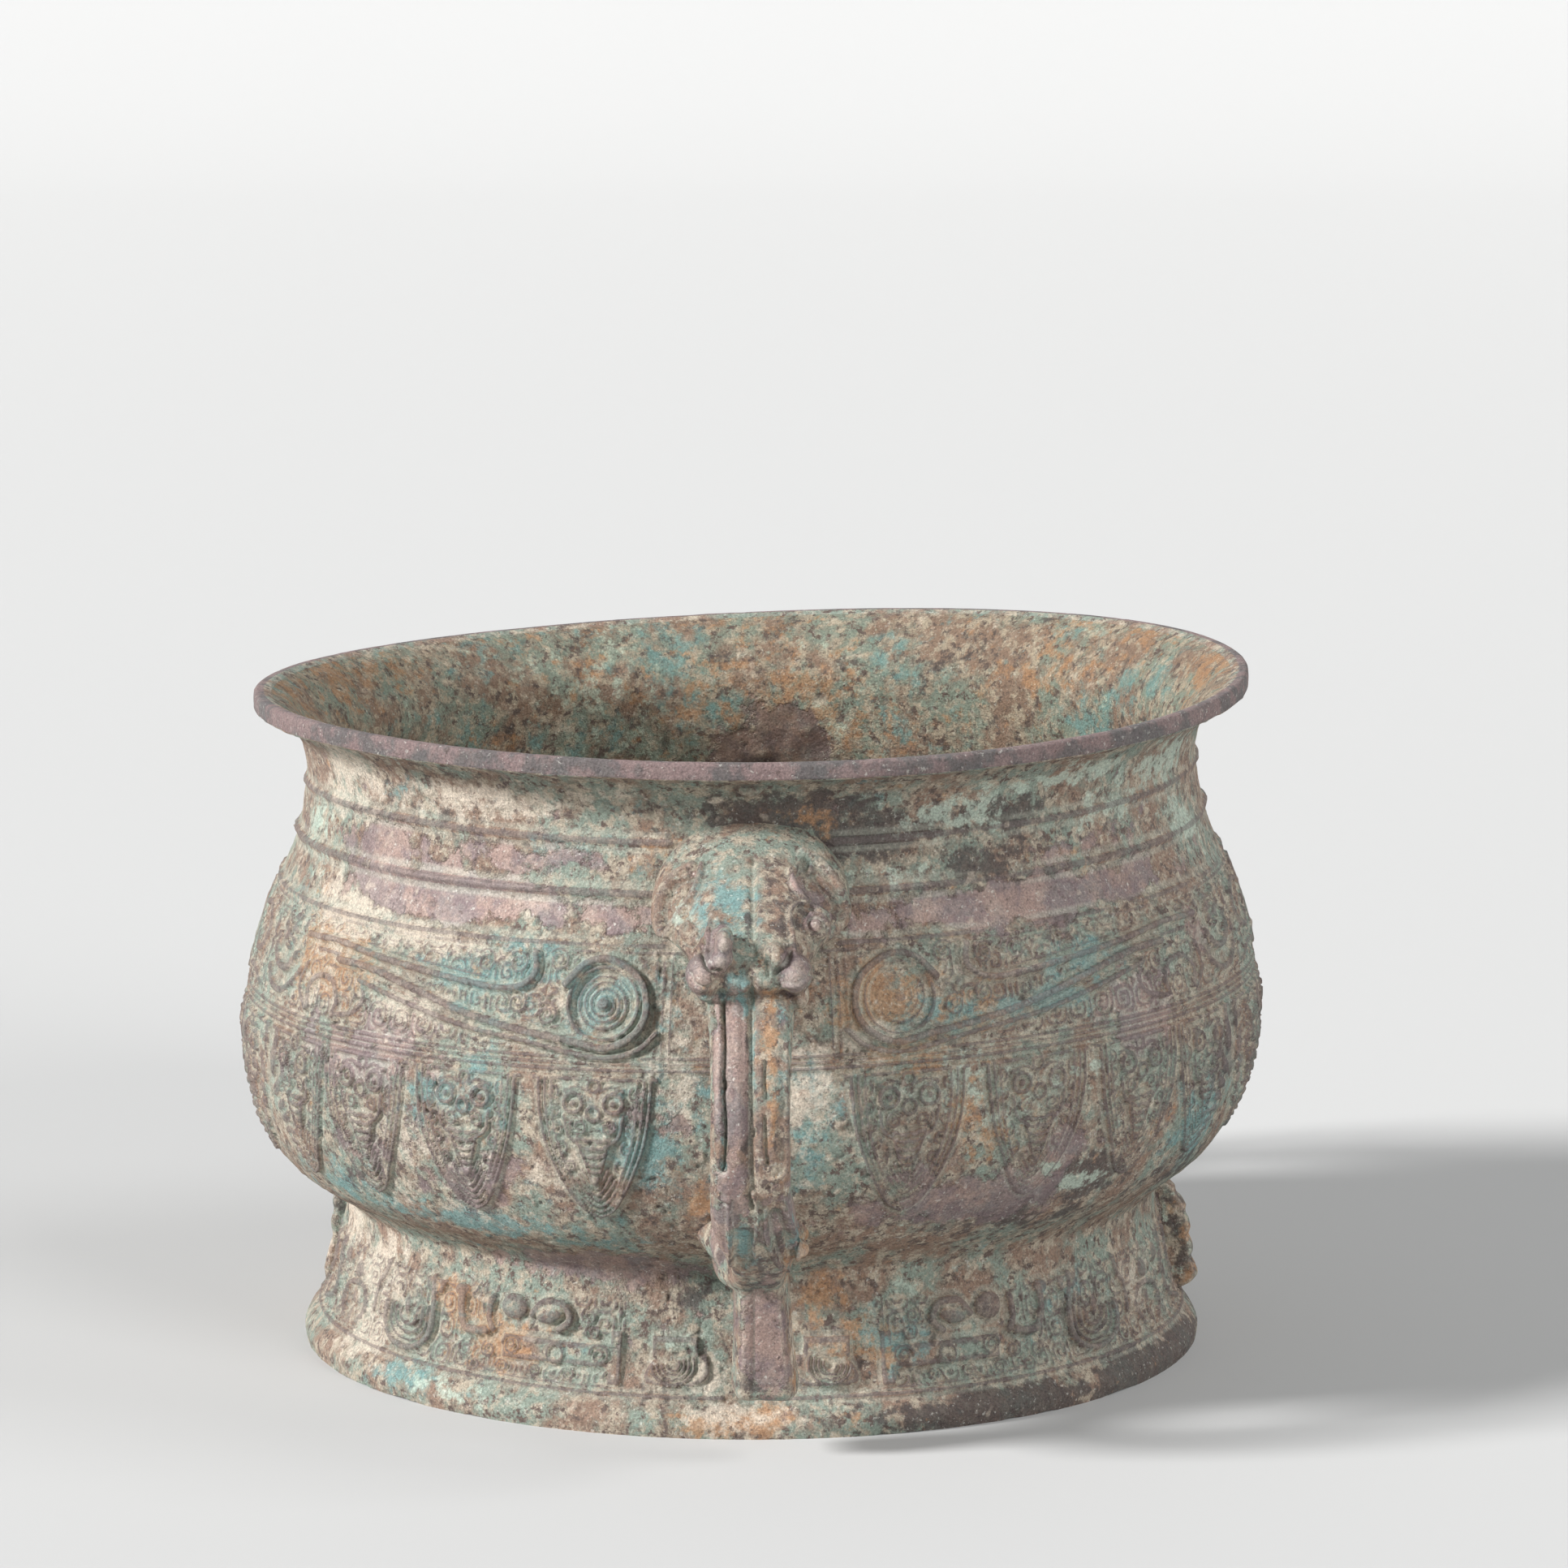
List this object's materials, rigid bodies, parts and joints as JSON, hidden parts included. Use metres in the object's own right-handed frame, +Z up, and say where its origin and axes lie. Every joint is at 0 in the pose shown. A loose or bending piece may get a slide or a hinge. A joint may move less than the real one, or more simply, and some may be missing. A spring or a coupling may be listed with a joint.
{
  "type": "bronze gui vessel",
  "caption": "Round-bellied bronze food vessel on a flaring ring foot, with two beast-head loop handles, raised neck lines and cast dragon and blade ornament.",
  "frame": {"origin": "centre of the ring foot's underside, on the surface the vessel stands on", "axes": "+Z up; the two loop handles lie along Y; the two small foot flanges lie along X; the pictured handle faces -Y"},
  "size_m": [0.2298, 0.2916, 0.1529],
  "materials": {
    "bronze": "mottled grey-green and brown patina, dull, with worn purple-brown edges"
  },
  "bodies": {
    "root": {"vessel": "bronze"}
  },
  "joints": []
}
